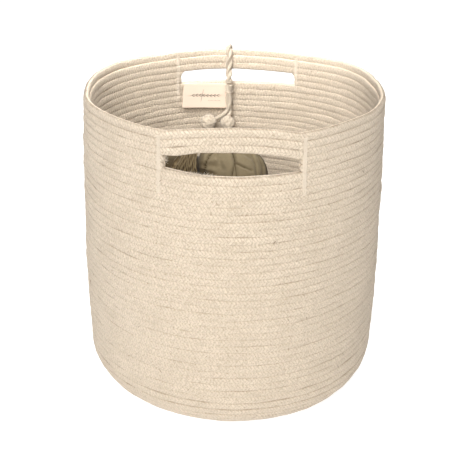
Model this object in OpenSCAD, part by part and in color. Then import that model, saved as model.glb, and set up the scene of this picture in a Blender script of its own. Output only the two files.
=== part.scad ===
// Open coiled-rope laundry basket with two hand slots, a knotted hang cord,
// a folded tag and a loose drawn-neck laundry bag standing inside it.
//
// Frame: millimetres, +Z up, the origin on the floor at the middle of the base.
// The front hand slot faces -Y and the back hand slot, with the hang cord, faces +Y.
// The basket is one rope laid in a flat spiral, turned up round the corner and stacked
// into the wall. Each turn is drawn as a level ring.

/* [Basket] */
// Outside radius of the wall at the rim
rim_radius = 200; // [185:1:215]
// Outside radius of the wall halfway up, where the soft wall swells
belly_radius = 206.8; // [203:0.1:211]
// Outside radius of the wall just above the bottom corner
foot_radius = 206.5; // [203:0.1:210]
// Radius of the rope's centre line round the bottom corner
corner_radius = 50; // [40:1:60]
// Thickness of the braided rope
rope_d = 10.2; // [9.8:0.1:10.4]
// Height from one turn of the rope to the next
row_pitch = 9.6; // [9.5:0.05:9.7]
// Turns of rope from the corner to the rim
wall_rows = 38; // [34:1:40]
// How far the turns of the base are pressed flat against the floor
base_flat = 0.6; // [0.4:0.1:1]

/* [Hand slots] */
// Turns of rope in the handle band above a slot
band_rows = 3; // [3:1:4]
// Turns of rope left out at a slot
slot_rows = 2; // [2:1:3]
// Half of the angle that the front slot takes from the wall
front_half_angle = 23.5; // [20:0.5:26]
// How far the front slot's middle is turned towards -X
front_turn = 0.7; // [0:0.1:2]
// Half of the angle that the back slot takes from the wall
back_half_angle = 26; // [24:0.5:28]
// How far the back slot's middle is turned towards +X
back_turn = 2; // [0:0.5:3]
// Height of the front band's middle above its ends
front_bow = 7; // [4:0.5:9]
// How far the front band's middle stands outside the chord between its ends
front_bulge = 8; // [5:0.5:12]
// Width of a stitched strip beside a slot
strip_w = 5; // [4:0.5:7]
// How far a stitched strip stands out from the rope
strip_proud = 0.5; // [0.3:0.1:1]
// Angle from a slot's end to the middle of each of the other three strips
strip_out = 2.2; // [2:0.1:3]
// Turns of rope that a stitched strip crosses
strip_rows = 8; // [7:1:9]
// Turns of rope that the back right strip crosses
short_strip_rows = 6; // [5:1:7]
// Angle from the back slot's right end to the middle of the back right strip
short_strip_out = 1.2; // [1.1:0.1:2.4]
// Angle that the rope's cut end takes along the bottom of the front slot
rope_end_angle = 18; // [14:1:20]
// Height of the rope's cut end at the slot's left end, from where it tapers off
rope_end_h = 5.2; // [4.6:0.1:6]

/* [Hang cord] */
// Thickness of one strand of the doubled cord
strand_d = 5.2; // [4.6:0.1:5.2]
// Distance of the cord's line from the middle of the basket, towards -X
cord_x = 7; // [5:0.5:9]
// Thickness of the knot on the left tail
left_knot_d = 25; // [22:1:26]
// Thickness of the knot on the right tail
right_knot_d = 23; // [20:1:24]

/* [Tag] */
// Length of the folded tag
tag_l = 70; // [55:1:71]
// Height of the folded tag
tag_h = 38.5; // [34:0.5:39]
// Thickness of the tag's card
card_t = 0.8; // [0.6:0.1:1]
// Gap between the tag's two leaves at the open bottom edge
tag_gap = 1; // [0.8:0.1:1.2]
// How far the tag's bottom edge hangs below the back slot, at the cord
tag_drop = 40.8; // [40.5:0.1:41]
// How far the tag's free end is tipped up
tag_tip = 4; // [0:0.5:5]
// How far the tag is turned from the back wall's tangent, following the round wall
tag_rest_angle = 13; // [12.5:0.5:15]

/* [Laundry bag] */
// Greatest radius of the filled bag
bag_radius = 146; // [135:1:150]
// Height of the filled bag's drawn top above the floor
bag_top = 334; // [325:1:336]
// Radius of the gathered neck where it is tied
neck_radius = 10; // [8:0.5:12]
// Radius of the ruffle beyond the tie
ruffle_radius = 24; // [18:1:26]
// Distance of the tie from the middle of the basket, towards -X
tie_x = 47; // [46:0.5:50]
// Length of the ruffle beyond the tie
ruffle_l = 26; // [20:1:28]

/* [Hidden] */
rope_r = rope_d / 2;
base_z = rope_r - base_flat;
foot_z = base_z + corner_radius;
basket_h = foot_z + (wall_rows - 0.5) * row_pitch + rope_r;
corner_rows = round(corner_radius * PI / 2 / row_pitch);
base_r = foot_radius - rope_r - corner_radius;
base_rows = round(base_r / row_pitch);
base_pitch = base_r / base_rows;
low_rows = wall_rows - band_rows - slot_rows;
third_rows = round(low_rows / 3);
slot_low_z = foot_z + low_rows * row_pitch;
slot_high_z = slot_low_z + slot_rows * row_pitch;
strip_high_z = basket_h - rope_r;
strand_r = strand_d / 2;
cord_y = rim_radius - 20.5;
cord_sides = 10;
bag_gap = 0.4;
eps = 0.01;
$fn = 96;

// Routes of the cord's strands: [distance towards +X from the cord's line, distance
// towards +Y from the cord's line, height above the bottom of the back slot].
// The loop goes up inside the band, over the rim, down outside and in through the slot.
loop_route = [[0, 0, 2.7], [0, 1, 10], [0, 5, 18], [0, 7, 26], [0, 7.3, 35],
    [0, 7.4, 43.2], [0, 9.7, 49], [0, 15.4, 51.4], [0, 21.1, 49], [0, 23.6, 43.2],
    [0, 24.5, 34], [0, 25, 25], [0, 22.5, 18], [0, 16.7, 15.8], [0, 10.5, 13],
    [0, 6.5, 8], [0, 5.4, 2.7]];
left_tail_route = [[-2.7, 0, -2.3], [-2, -1.9, -9], [0, -2.7, -15], [2, -1.9, -22],
    [2, -1.9, -29], [0, -2.7, -36], [-2, -1.9, -42], [-8, -4, -48], [-18, -4, -54],
    [-26, -4, -58.5]];
right_tail_route = [[2.7, 0, -2.3], [2, 1.9, -9], [0, 2.7, -15], [-2, 1.9, -22],
    [-2, 1.9, -29], [0, 2.7, -36], [2, 1.9, -42], [1.5, -1, -48], [-1.5, -4, -53],
    [-1.5, -4, -57]];
left_knot = [-31, -4, -60.3];
right_knot = [-1.5, -4, -61.3];

// Which sub-part to build

rope_colour = [0.93, 0.88, 0.79];
band_colour = [0.94, 0.90, 0.82];
thread_colour = [0.96, 0.93, 0.87];
cord_colour = [0.95, 0.91, 0.82];
tag_colour = [0.95, 0.91, 0.81];
bag_colour = [0.75, 0.70, 0.58];

// ---- Rope coil ----

// Outside radius of the wall at height z: a curve through foot, belly and rim
function wall_u(z) = (z - foot_z) / (basket_h - foot_z);
function wall_r(z) = foot_radius * (1 - wall_u(z)) * (1 - 2 * wall_u(z))
    + 4 * belly_radius * wall_u(z) * (1 - wall_u(z))
    + rim_radius * wall_u(z) * (2 * wall_u(z) - 1);
// Height of the middle of wall row i, counted up from the corner
function row_z(i) = foot_z + (i + 0.5) * row_pitch;

// Outline of a stack of wall rows from row lo to row hi
module wall_rows_2d(lo, hi) {
    intersection() {
        for (i = [lo : hi])
            translate([wall_r(row_z(i)) - rope_r, row_z(i)])
                circle(r = rope_r);
        translate([0, foot_z + lo * row_pitch])
            square([2 * belly_radius, (hi - lo + 1) * row_pitch + (hi == wall_rows - 1 ? rope_d : 0)]);
    }
}

// An arc of wall rows, from angle a0 to angle a1, both measured from +X towards +Y
module wall_arc(lo, hi, a0, a1) {
    rotate([0, 0, a0])
        rotate_extrude(angle = a1 - a0)
            wall_rows_2d(lo, hi);
}

module base_coil() {
    color(rope_colour)
        rotate_extrude()
            intersection() {
                union() {
                    for (i = [0 : base_rows - 1])
                        translate([(i + 0.5) * base_pitch, base_z])
                            circle(r = rope_r);
                    translate([0, base_z - rope_r / 2])
                        square([base_pitch / 2, rope_r]);
                }
                square([base_r, rope_d]);
            }
}

// The turns of the corner from row lo to row hi, cut square to the corner's curve
module corner_turns(lo, hi) {
    step = 90 / corner_rows;
    reach = 2 * corner_radius;
    rotate_extrude()
        intersection() {
            for (i = [lo : hi])
                translate([base_r + corner_radius * sin((i + 0.5) * step),
                        foot_z - corner_radius * cos((i + 0.5) * step)])
                    circle(r = rope_r);
            translate([base_r, foot_z])
                polygon([[0, 0],
                    [reach * sin(lo * step), -reach * cos(lo * step)],
                    [reach * sin((hi + 1) * step), -reach * cos((hi + 1) * step)]]);
            translate([base_r, 0])
                square([belly_radius, foot_z]);
        }
}

module corner_coil_low() {
    color(rope_colour) corner_turns(0, floor(corner_rows / 2) - 1);
}

module corner_coil_high() {
    color(rope_colour) corner_turns(floor(corner_rows / 2), corner_rows - 1);
}

module wall_coil_low() {
    color(rope_colour) rotate_extrude() wall_rows_2d(0, third_rows - 1);
}

module wall_coil_middle() {
    color(rope_colour) rotate_extrude() wall_rows_2d(third_rows, 2 * third_rows - 1);
}

module wall_coil_high() {
    color(rope_colour) rotate_extrude() wall_rows_2d(2 * third_rows, low_rows - 1);
}

// Angles of the slots' ends
front_a0 = 270 - front_turn - front_half_angle;
front_a1 = 270 - front_turn + front_half_angle;
back_a0 = 90 - back_turn - back_half_angle;
back_a1 = 90 - back_turn + back_half_angle;

module slot_course_left() {
    color(rope_colour) wall_arc(low_rows, low_rows + slot_rows - 1, back_a1, front_a0);
}

module slot_course_right() {
    color(rope_colour) wall_arc(low_rows, low_rows + slot_rows - 1, front_a1 - 360, back_a0);
}

module rim_course_left() {
    color(rope_colour) wall_arc(low_rows + slot_rows, wall_rows - 1, back_a1, front_a0);
}

module rim_course_right() {
    color(rope_colour) wall_arc(low_rows + slot_rows, wall_rows - 1, front_a1 - 360, back_a0);
}

module handle_band_back() {
    color(band_colour) wall_arc(low_rows + slot_rows, wall_rows - 1, back_a0, back_a1);
}

// The front band is flatter than the wall and stands up in the middle, so each of its
// rows is a shallow arc in a plane that is tilted up about the chord between its ends.
half_chord = (rim_radius - rope_r) * sin(front_half_angle);
chord_y = (rim_radius - rope_r) * cos(front_half_angle);
bow_sag = sqrt(front_bow * front_bow + front_bulge * front_bulge);
bow_tilt = atan2(front_bow, front_bulge);
bow_r = (half_chord * half_chord + bow_sag * bow_sag) / (2 * bow_sag);
bow_half_angle = asin(half_chord / bow_r);

module bowed_row(z) {
    over = 2;
    translate([0, -chord_y, z])
        rotate([-bow_tilt, 0, 0])
            translate([0, bow_r - bow_sag, 0])
                rotate([0, 0, 270 - bow_half_angle - over])
                    rotate_extrude(angle = 2 * (bow_half_angle + over))
                        translate([bow_r, 0])
                            circle(r = rope_r);
}

module handle_band_front() {
    wedge = 2 * rim_radius;
    color(band_colour)
        rotate([0, 0, -front_turn]) intersection() {
            for (i = [low_rows + slot_rows : wall_rows - 1])
                bowed_row(row_z(i));
            translate([0, 0, slot_high_z - rope_r])
                linear_extrude(basket_h - slot_high_z + 4 * rope_r)
                    polygon([[0, 0],
                        [-wedge * sin(front_half_angle), -wedge * cos(front_half_angle)],
                        [wedge * sin(front_half_angle), -wedge * cos(front_half_angle)]]);
        }
}

// The cut end of the rope, which lies on the turn below the front slot and sinks into it.
// Its line is an arc round the wall, tilted about the arc's middle.
module rope_end_front() {
    over = 2;
    thin_end_h = 1;
    arc_r = wall_r(row_z(low_rows)) - rope_r;
    tilt = asin((rope_end_h - thin_end_h) / 2 / (arc_r * sin(rope_end_angle / 2)));
    mid_z = slot_low_z + (rope_end_h + thin_end_h) / 2 - rope_r;
    color(rope_colour)
        intersection() {
            rotate([0, 0, front_a0 + rope_end_angle / 2])
                translate([0, 0, mid_z])
                    rotate([tilt, 0, 0])
                        rotate([0, 0, -rope_end_angle / 2 - over])
                            rotate_extrude(angle = rope_end_angle + 2 * over)
                                translate([arc_r, 0])
                                    circle(r = rope_r);
            rotate([0, 0, front_a0])
                rotate_extrude(angle = rope_end_angle)
                    translate([arc_r - rope_d, slot_low_z])
                        square([2 * rope_d, 2 * rope_d]);
        }
}

// ---- Stitched strips ----

// A bar of stitching through the wall at angle a, standing a little proud of both faces,
// across the given number of turns from the rim down
module stitch_strip(a, rows) {
    low_z = foot_z + (wall_rows - rows) * row_pitch;
    mid_z = (low_z + strip_high_z) / 2;
    depth = rope_d + 2 * strip_proud;
    lean = atan2(wall_r(low_z) - wall_r(strip_high_z), strip_high_z - low_z);
    color(thread_colour)
        rotate([0, 0, a])
            translate([wall_r(mid_z) - rope_r, 0, mid_z])
                rotate([0, -lean, 0])
                    cube([depth, strip_w, strip_high_z - low_z], center = true);
}

module stitch_front_left() { stitch_strip(front_a0 - strip_out, strip_rows); }
module stitch_front_right() { stitch_strip(front_a1 + strip_out, strip_rows); }
module stitch_back_left() { stitch_strip(back_a1 + strip_out, strip_rows); }
module stitch_back_right() { stitch_strip(back_a0 - short_strip_out, short_strip_rows); }

// ---- Hang cord ----

function unit(v) = v / norm(v);
// Point at fraction t of the smooth curve through the listed points
function spline(p, t) =
    let (n = len(p) - 1, s = min(t * n, n - eps), i = floor(s), u = s - i,
         a = p[max(i - 1, 0)], b = p[i], c = p[i + 1], d = p[min(i + 2, n)])
    0.5 * (2 * b + (c - a) * u + (2 * a - 5 * b + 4 * c - d) * u * u
        + (3 * b - a - 3 * c + d) * u * u * u);

// A round tube of radius r swept along the smooth curve through the listed points.
// Each ring is square to the path and keeps one side towards the fixed direction "side".
module tube(p, r, rings, side) {
    path = [for (k = [0 : rings]) spline(p, k / rings)];
    function along(k) = unit(path[min(k + 1, rings)] - path[max(k - 1, 0)]);
    function across(k) = unit(side - (side * along(k)) * along(k));
    points = [for (k = [0 : rings]) let (v = across(k), w = cross(along(k), v))
        for (j = [0 : cord_sides - 1])
            path[k] + r * (cos(j * 360 / cord_sides) * v + sin(j * 360 / cord_sides) * w)];
    faces = concat(
        [[for (j = [0 : cord_sides - 1]) j]],
        [for (k = [0 : rings - 1], j = [0 : cord_sides - 1])
            let (a = k * cord_sides, n = (j + 1) % cord_sides)
            [a + j, a + cord_sides + j, a + cord_sides + n, a + n]],
        [[for (j = [cord_sides - 1 : -1 : 0]) rings * cord_sides + j]]);
    polyhedron(points, faces, convexity = 4);
}

// Moves its children from the cord's line at the bottom of the back slot to their place
module at_cord() {
    translate([-cord_x, cord_y, slot_low_z]) children();
}

// One strand of the doubled cord round the back band, beside its neighbour
module loop_strand(side) {
    color(cord_colour)
        at_cord()
            translate([side * (strand_r + 0.1), 0, 0])
                tube(loop_route, strand_r, 56, [1, 0, 0]);
}

module cord_loop_left() { loop_strand(-1); }
module cord_loop_right() { loop_strand(1); }

// The two tails cross under the slot, part below the tag and each end in a knot
module cord_tail_left() {
    color(cord_colour) at_cord() tube(left_tail_route, strand_r, 30, [0, 1, 0]);
}

module cord_tail_right() {
    color(cord_colour) at_cord() tube(right_tail_route, strand_r, 30, [1, 0, 0]);
}

module cord_knot_left() {
    color(cord_colour) at_cord() translate(left_knot) sphere(d = left_knot_d, $fn = 48);
}

module cord_knot_right() {
    color(cord_colour) at_cord() translate(right_knot) sphere(d = right_knot_d, $fn = 48);
}

// ---- Tag ----

// The tag hangs behind the cord, on a thread that goes round the cord and through the tag
tie_r = 6.2;
tie_t = 0.8;
tie_up = 29;
tag_end = 2;
tag_back = 8;
hole_out = 2.5;
hole_r = 1;
thread_knot_r = 1.1;
tag_t = 2 * card_t + tag_gap;

// Places its children in the tag's own frame: X along the tag away from its free end, Y
// out to the wall, Z up from the bottom edge at the cord, all turned about the cord's line
module at_tag() {
    translate([-cord_x, cord_y, slot_low_z - tag_drop])
        rotate([0, 0, tag_rest_angle])
            children();
}

// A folded card's end face, with the fold along the top
module tag_leaf_2d() {
    fold_r = tag_t / 2;
    difference() {
        union() {
            translate([-fold_r, 0]) square([tag_t, tag_h - fold_r]);
            translate([0, tag_h - fold_r]) circle(r = fold_r, $fn = 32);
        }
        translate([-tag_gap / 2, -eps]) square([tag_gap, tag_h - fold_r]);
        translate([0, tag_h - fold_r]) circle(r = tag_gap / 2, $fn = 32);
    }
}

module tag_card() {
    color(tag_colour)
        at_tag()
            difference() {
                translate([-tag_end, tag_back, 0])
                    rotate([0, tag_tip, 0])
                        rotate([90, 0, -90])
                            linear_extrude(tag_l)
                                tag_leaf_2d();
                translate([-hole_out, tag_back + tag_t, tie_up])
                    rotate([90, 0, 0])
                        cylinder(r = hole_r, h = 2 * tag_t, $fn = 32);
            }
}

// The thread that holds the tag: a loop round the cord and a tail through the card,
// knotted behind it
module tag_tie() {
    stem_y = sqrt(tie_r * tie_r - hole_out * hole_out);
    knot_y = tag_back + tag_t / 2 + thread_knot_r + 0.2;
    color(thread_colour)
        at_tag()
            translate([0, 0, tie_up]) {
                rotate_extrude()
                    translate([tie_r, 0])
                        circle(d = tie_t, $fn = 24);
                translate([-hole_out, stem_y, 0])
                    rotate([-90, 0, 0])
                        cylinder(d = tie_t, h = knot_y - stem_y, $fn = 24);
                translate([-hole_out, knot_y, 0])
                    sphere(r = thread_knot_r, $fn = 24);
            }
}

// ---- Laundry bag ----

bag_floor = rope_d - base_flat + bag_gap;
module bag_body() {
    color(bag_colour)
        rotate_extrude()
            polygon([[0, bag_floor], [bag_radius * 0.62, bag_floor],
                [bag_radius * 0.84, bag_floor + 9], [bag_radius * 0.96, bag_floor + 34],
                [bag_radius, bag_floor + 80], [bag_radius, bag_top * 0.40],
                [bag_radius * 0.93, bag_top * 0.54], [bag_radius * 0.76, bag_top * 0.66],
                [bag_radius * 0.53, bag_top * 0.76], [bag_radius * 0.36, bag_top * 0.84],
                [bag_radius * 0.27, bag_top * 0.90], [bag_radius * 0.20, bag_top * 0.96],
                [bag_radius * 0.10, bag_top], [0, bag_top]]);
}

neck_z = bag_top - 24;
neck_y = -6;
// From the drawn top of the bag to the tie
module bag_neck() {
    color(bag_colour)
        difference() {
            translate([-tie_x, neck_y, neck_z])
                rotate([0, 90, 0])
                    cylinder(r1 = neck_radius, r2 = neck_radius * 1.8, h = tie_x - bag_radius * 0.18);
            bag_body();
        }
}

// The cloth beyond the tie
module bag_ruffle() {
    color(bag_colour)
        translate([-tie_x - ruffle_l, neck_y, neck_z])
            rotate([0, 90, 0])
                cylinder(r1 = ruffle_radius, r2 = neck_radius, h = ruffle_l);
}

module bag_tie() {
    color(thread_colour)
        translate([-tie_x, neck_y, neck_z])
            rotate([0, 90, 0])
                rotate_extrude()
                    translate([neck_radius + 1, 0])
                        circle(r = 1.6, $fn = 24);
}

base_coil();
corner_coil_low();
corner_coil_high();
wall_coil_low();
wall_coil_middle();
wall_coil_high();
rope_end_front();
slot_course_left();
slot_course_right();
rim_course_left();
rim_course_right();
handle_band_front();
handle_band_back();
stitch_front_left();
stitch_front_right();
stitch_back_left();
stitch_back_right();
cord_loop_left();
cord_loop_right();
cord_tail_left();
cord_tail_right();
cord_knot_left();
cord_knot_right();
tag_card();
tag_tie();
bag_body();
bag_neck();
bag_ruffle();
bag_tie();
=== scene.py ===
"""An open laundry basket of coiled cotton rope with two hand slots, a doubled hang cord, a
folded tag and a laundry bag inside. Metres, +Z up, in the frame of the CAD model."""
import math

import bpy
import numpy as np
from mathutils import Matrix, Vector


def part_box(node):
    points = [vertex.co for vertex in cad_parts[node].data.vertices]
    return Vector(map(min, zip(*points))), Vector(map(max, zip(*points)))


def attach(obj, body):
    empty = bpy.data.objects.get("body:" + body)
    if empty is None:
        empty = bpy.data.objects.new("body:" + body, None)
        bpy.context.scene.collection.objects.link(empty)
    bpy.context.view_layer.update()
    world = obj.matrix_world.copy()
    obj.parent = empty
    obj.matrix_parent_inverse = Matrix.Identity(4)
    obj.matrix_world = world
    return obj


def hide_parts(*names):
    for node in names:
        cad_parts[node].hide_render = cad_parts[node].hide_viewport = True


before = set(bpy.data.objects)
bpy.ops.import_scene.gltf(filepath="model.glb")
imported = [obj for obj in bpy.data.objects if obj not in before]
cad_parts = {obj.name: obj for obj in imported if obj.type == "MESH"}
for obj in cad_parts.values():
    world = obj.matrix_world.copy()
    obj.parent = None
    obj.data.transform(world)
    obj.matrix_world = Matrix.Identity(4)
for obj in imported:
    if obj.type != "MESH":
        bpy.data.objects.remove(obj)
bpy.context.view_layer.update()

# ---- Sizes ----

ROPE_D = 0.0102  # thickness of the braided rope
BASE_FLAT = 0.0006  # how far the base turns are pressed flat
RIM_R, BELLY_R, FOOT_R = 0.200, 0.2068, 0.2065  # outside radii of the wall
CORNER_R = 0.050  # the rope's centre line round the bottom corner
SLOT_ROWS, BAND_ROWS = 2, 3
FRONT_HALF = math.radians(23.5)  # half of the front slot's angle
FRONT_TURN = math.radians(0.7)  # the front slot's middle, turned towards -X
BACK_HALF = math.radians(26.0)
BACK_TURN = math.radians(2.0)  # the back slot's middle, turned towards +X
FRONT_BOW, FRONT_BULGE = 0.007, 0.008  # the front band's middle, up and out from its chord
STRIP_ROWS, SHORT_STRIP_ROWS = 8, 6  # turns of rope that a stitched strip crosses
STRIP_OUT = math.radians(2.2)  # from a slot's end to the middle of its strip
SHORT_STRIP_OUT = math.radians(1.2)
ROPE_END_ANGLE = math.radians(18)  # the rope's cut end, along the front slot's bottom
ROPE_END_H = 0.0022  # its seen height at the slot's left end

ROPE_R = ROPE_D / 2
FOOT_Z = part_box("wall_coil_low")[0].z
SLOT_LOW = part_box("slot_course_left")[0].z
SLOT_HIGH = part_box("rim_course_left")[0].z
RIM_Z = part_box("rim_course_left")[1].z
PITCH = (SLOT_HIGH - SLOT_LOW) / SLOT_ROWS
LOW_ROWS = round((SLOT_LOW - FOOT_Z) / PITCH)
THIRD_ROWS = round((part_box("wall_coil_middle")[0].z - FOOT_Z) / PITCH)
WALL_ROWS = LOW_ROWS + SLOT_ROWS + BAND_ROWS
BASE_Z = ROPE_R - BASE_FLAT
CORNER_ROWS = round(CORNER_R * math.pi / 2 / PITCH)
BASE_R = FOOT_R - ROPE_R - CORNER_R
BASE_ROWS = round(BASE_R / PITCH)

FRONT = -math.pi / 2 - FRONT_TURN  # angles run from +X towards +Y
BACK = math.pi / 2 - BACK_TURN
FRONT_A0, FRONT_A1 = FRONT - FRONT_HALF, FRONT + FRONT_HALF
BACK_A0, BACK_A1 = BACK - BACK_HALF, BACK + BACK_HALF
UP = np.array([0.0, 0.0, 1.0])

# ---- Objects ----


def link_object(name, data):
    """A new object in the scene."""
    obj = bpy.data.objects.new(name, data)
    bpy.context.scene.collection.objects.link(obj)
    return obj


def declare(piece, body, slot, *nodes):
    """Says which body a piece moves with and the CAD nodes it stands for; slot, its material slot, is
    not used.
    """
    if nodes:
        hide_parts(*nodes)
    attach(piece, body)
    return piece


# ---- Camera and lights ----


def make_camera():
    data = bpy.data.cameras.new("camera")
    data.sensor_width = 36.0
    data.lens = 72.8
    data.clip_end = 50
    pitch, roll = math.radians(25.37), math.radians(0.67)
    turn = Matrix.Rotation(math.pi / 2 - pitch, 4, "X") @ Matrix.Rotation(roll, 4, "Z")
    camera = link_object("camera", data)
    camera.matrix_world = Matrix.Translation((-0.005, -1.200, 0.779)) @ turn
    bpy.context.scene.camera = camera


def area_light(name, place, target, size, power, spread=180):
    """A round lamp that lights a cone of spread degrees."""
    data = bpy.data.lights.new(name, "AREA")
    data.shape = "DISK"
    data.size = size
    data.energy = power
    data.spread = math.radians(spread)
    direction = Vector(target) - Vector(place)
    aim = direction.to_track_quat("-Z", "Y").to_matrix().to_4x4()
    link_object(name, data).matrix_world = Matrix.Translation(place) @ aim


def make_light():
    world = bpy.data.worlds.new("studio")
    bpy.context.scene.world = world
    world.use_nodes = True
    back = world.node_tree.nodes["Background"]
    back.inputs["Color"].default_value = (1.0, 0.975, 0.935, 1)
    back.inputs["Strength"].default_value = 0.345
    area_light("key", (-0.45, -2.85, 1.95), (0, 0, 0.3), 1.5, 104)
    area_light("back", (0.9, 2.6, 1.8), (0, 0, 0.3), 1.5, 28)
    area_light("overhead", (-0.3, -0.5, 2.6), (0, 0, 0.3), 1.6, 22)
    area_light("inside", (-0.15, -0.19, 0.80), (0.05, 0.25, 0.56), 0.25, 0.95, 72)
    area_light("inside_left", (0.16, -0.16, 0.82), (-0.24, -0.05, 0.37), 0.25, 0.44, 80)
    bpy.context.scene.view_settings.view_transform = "Standard"


# ---- Materials ----


class Value:
    """One output of a material's node; arithmetic on it adds maths nodes."""

    def __init__(self, nodes, socket):
        self.nodes, self.socket = nodes, socket

    def __add__(self, other):
        return self.nodes.math("ADD", self, other)

    def __sub__(self, other):
        return self.nodes.math("SUBTRACT", self, other)

    def __rsub__(self, other):
        return self.nodes.math("SUBTRACT", other, self)

    def __mul__(self, other):
        return self.nodes.math("MULTIPLY", self, other)


class Nodes:
    """Short calls for building one material's node tree."""

    def __init__(self, name, roughness, sheen=0.0):
        self.material = bpy.data.materials.new(name)
        self.material.use_nodes = True
        self.tree = self.material.node_tree
        self.shader = self.tree.nodes["Principled BSDF"]
        for key, value in (("Roughness", roughness), ("Specular IOR Level", 0.25),
                           ("Sheen Weight", sheen), ("Sheen Roughness", 0.6)):
            self.shader.inputs[key].default_value = value

    def link(self, source, target):
        if isinstance(source, Value):
            self.tree.links.new(source.socket, target)
        else:
            target.default_value = (*source, 1) if isinstance(source, tuple) else source

    def node(self, kind, inputs=(), **settings):
        node = self.tree.nodes.new(kind)
        for key, value in settings.items():
            setattr(node, key, value)
        for key, value in dict(inputs).items():
            self.link(value, node.inputs[key])
        return node

    def value(self, kind, inputs=(), output=0, **settings):
        return Value(self, self.node(kind, inputs, **settings).outputs[output])

    def math(self, operation, *values):
        return self.value("ShaderNodeMath", enumerate(values), operation=operation)

    def noise(self, vector, scale, detail=2.0, roughness=0.5):
        inputs = {"Vector": vector, "Scale": scale, "Detail": detail, "Roughness": roughness}
        return self.value("ShaderNodeTexNoise", inputs, "Fac")

    def place(self):
        """Where a point lies in its object's frame."""
        return self.value("ShaderNodeTexCoord", output="Object")

    def vector(self, x, y, z=0.0):
        return self.value("ShaderNodeCombineXYZ", enumerate((x, y, z)))

    def split(self, vector):
        return [Value(self, out) for out in self.node("ShaderNodeSeparateXYZ", {0: vector}).outputs]

    def rope_uv(self):
        """Metres along the rope and turns round it."""
        return self.split(self.value("ShaderNodeUVMap", uv_map="rope"))[:2]

    def step(self, value, low, high):
        """Rises from 0 to 1 while value goes from low to high."""
        return self.value("ShaderNodeMapRange", {0: value, 1: low, 2: high})

    def mix(self, factor, a, b):
        return self.value("ShaderNodeMix", {0: factor, 6: a, 7: b}, 2, data_type="RGBA")

    def bump(self, height, distance, strength):
        inputs = {"Strength": strength, "Distance": distance, "Height": height}
        return self.value("ShaderNodeBump", inputs)

    def finish(self, colour, normal=None):
        self.link(colour, self.shader.inputs["Base Color"])
        if normal is not None:
            self.link(normal, self.shader.inputs["Normal"])
        return self.material


def braid_material(name, light, dark, fleck_and_seam_shade=(0.30, 0.22, 0.14), painted_inner_seam_light=(0.95, 0.80, 0.62)):
    """Plaited rope: chevrons of yarn that meet along the middle of each face, with painted shade between
    the yarns and in the seams between the turns, and painted light in the inner seams.
    """
    n = Nodes(name, roughness=0.92, sheen=0.15)
    u, v = n.rope_uv()
    place = n.place()
    turn = v * (2 * math.pi)
    arm = n.math("ABSOLUTE", n.math("SINE", turn))
    lower = n.math("LESS_THAN", n.math("SINE", turn), 0.0)
    phase = n.math("DIVIDE", u, 0.0046) + arm * 0.95 + n.noise(place, 130.0) + lower * 0.5
    across = n.math("FRACT", phase) * 2.0 - 1.0
    strand = n.math("SQRT", 1.0 - across * across * 0.96)
    fibre = n.noise(n.vector(phase * 9.0, arm * 2.0, u * 90.0), 1.0, 3.0, 0.6)
    fuzz = n.noise(place, 450.0, 2.0, 0.6)
    tone = n.noise(place, 26.0, 3.0, 0.6)
    streak = n.noise(n.vector(u * 14.0, arm * 1.5), 1.0, 2.0, 0.6)
    # painted shade: each yarn is darker towards its edges, where it dips between its neighbours
    colour = n.mix(n.step(strand, 0.25, 0.80), dark, light)
    for amount in (fibre * 0.50, (tone - 0.42) * 0.9, (streak - 0.46) * 0.8, (fuzz - 0.44) * 3.6):
        colour = n.mix(amount, colour, dark)
    # painted shade and light in the seams between the turns: uneven darker stretches outside stand in
    # for the shade in the outer grooves, and a pale cotton colour inside evens out the shade in the
    # inner grooves
    seam = n.step(arm, 0.62, 0.95)
    outer = n.math("GREATER_THAN", n.math("COSINE", turn), 0.0)
    outer_seam_shade = (n.noise(n.vector(u * 40.0, lower * 5.0), 1.0, 3.0, 0.65) - 0.30) * 2.8
    colour = n.mix(seam * outer * outer_seam_shade, colour, fleck_and_seam_shade)
    colour = n.mix(seam * (0.7 - outer * 0.7), colour, painted_inner_seam_light)
    speck = n.step(n.noise(place, 240.0, 1.0), 0.715, 0.76)
    colour = n.mix(speck * 0.55, colour, fleck_and_seam_shade)
    return n.finish(colour, n.bump(strand + fibre * 0.55 + fuzz * 0.7, 0.0016, 0.9))


def thread_material(name, light, dark):
    """Cotton thread or yarn: fine fibres that run along it."""
    n = Nodes(name, roughness=0.85, sheen=0.25)
    u, v = n.rope_uv()
    ply = n.math("ABSOLUTE", n.math("SINE", v * 6.0 + u * 900.0))
    fibre = n.noise(n.vector(u * 500.0, v * 14.0), 1.0, 3.0, 0.6)
    return n.finish(n.mix(fibre, light, dark), n.bump(ply * 0.6 + fibre, 0.00025, 0.8))


def cloth_material(name, light, dark):
    """Plain-woven cotton with slubs, and painted shade from a point attribute that darkens its creases
    and other shaded places.
    """
    n = Nodes(name, roughness=0.95, sheen=0.04)
    place = n.place()
    x, y, z = n.split(place)
    warp = n.math("SINE", (x + y * 0.35) * 3000.0)
    weft = n.math("SINE", (z + y * 0.5) * 3000.0)
    slub = n.noise(place, 300.0, 4.0, 0.7)
    colour = n.mix(slub * 0.6, light, dark)
    colour = n.mix(n.noise(place, 30.0, 3.0, 0.55) * 0.4, colour, dark)
    # painted shade: the point attribute mixes the colour towards a near-black brown
    painted_shade = n.value("ShaderNodeAttribute", output="Fac", attribute_name="painted_shade")
    colour = n.mix(painted_shade * 0.93, colour, (0.045, 0.028, 0.010))
    return n.finish(colour, n.bump(warp * weft * 0.5 + slub * 1.2, 0.0003, 0.6))


def card_material(name, light, dark):
    """Uncoated card with faint fibres."""
    n = Nodes(name, roughness=0.85)
    fibre = n.noise(n.place(), 900.0, 4.0, 0.7)
    cloud = n.noise(n.place(), 40.0)
    return n.finish(n.mix((fibre + cloud) * 0.35, light, dark), n.bump(fibre, 0.0001, 0.5))


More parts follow.
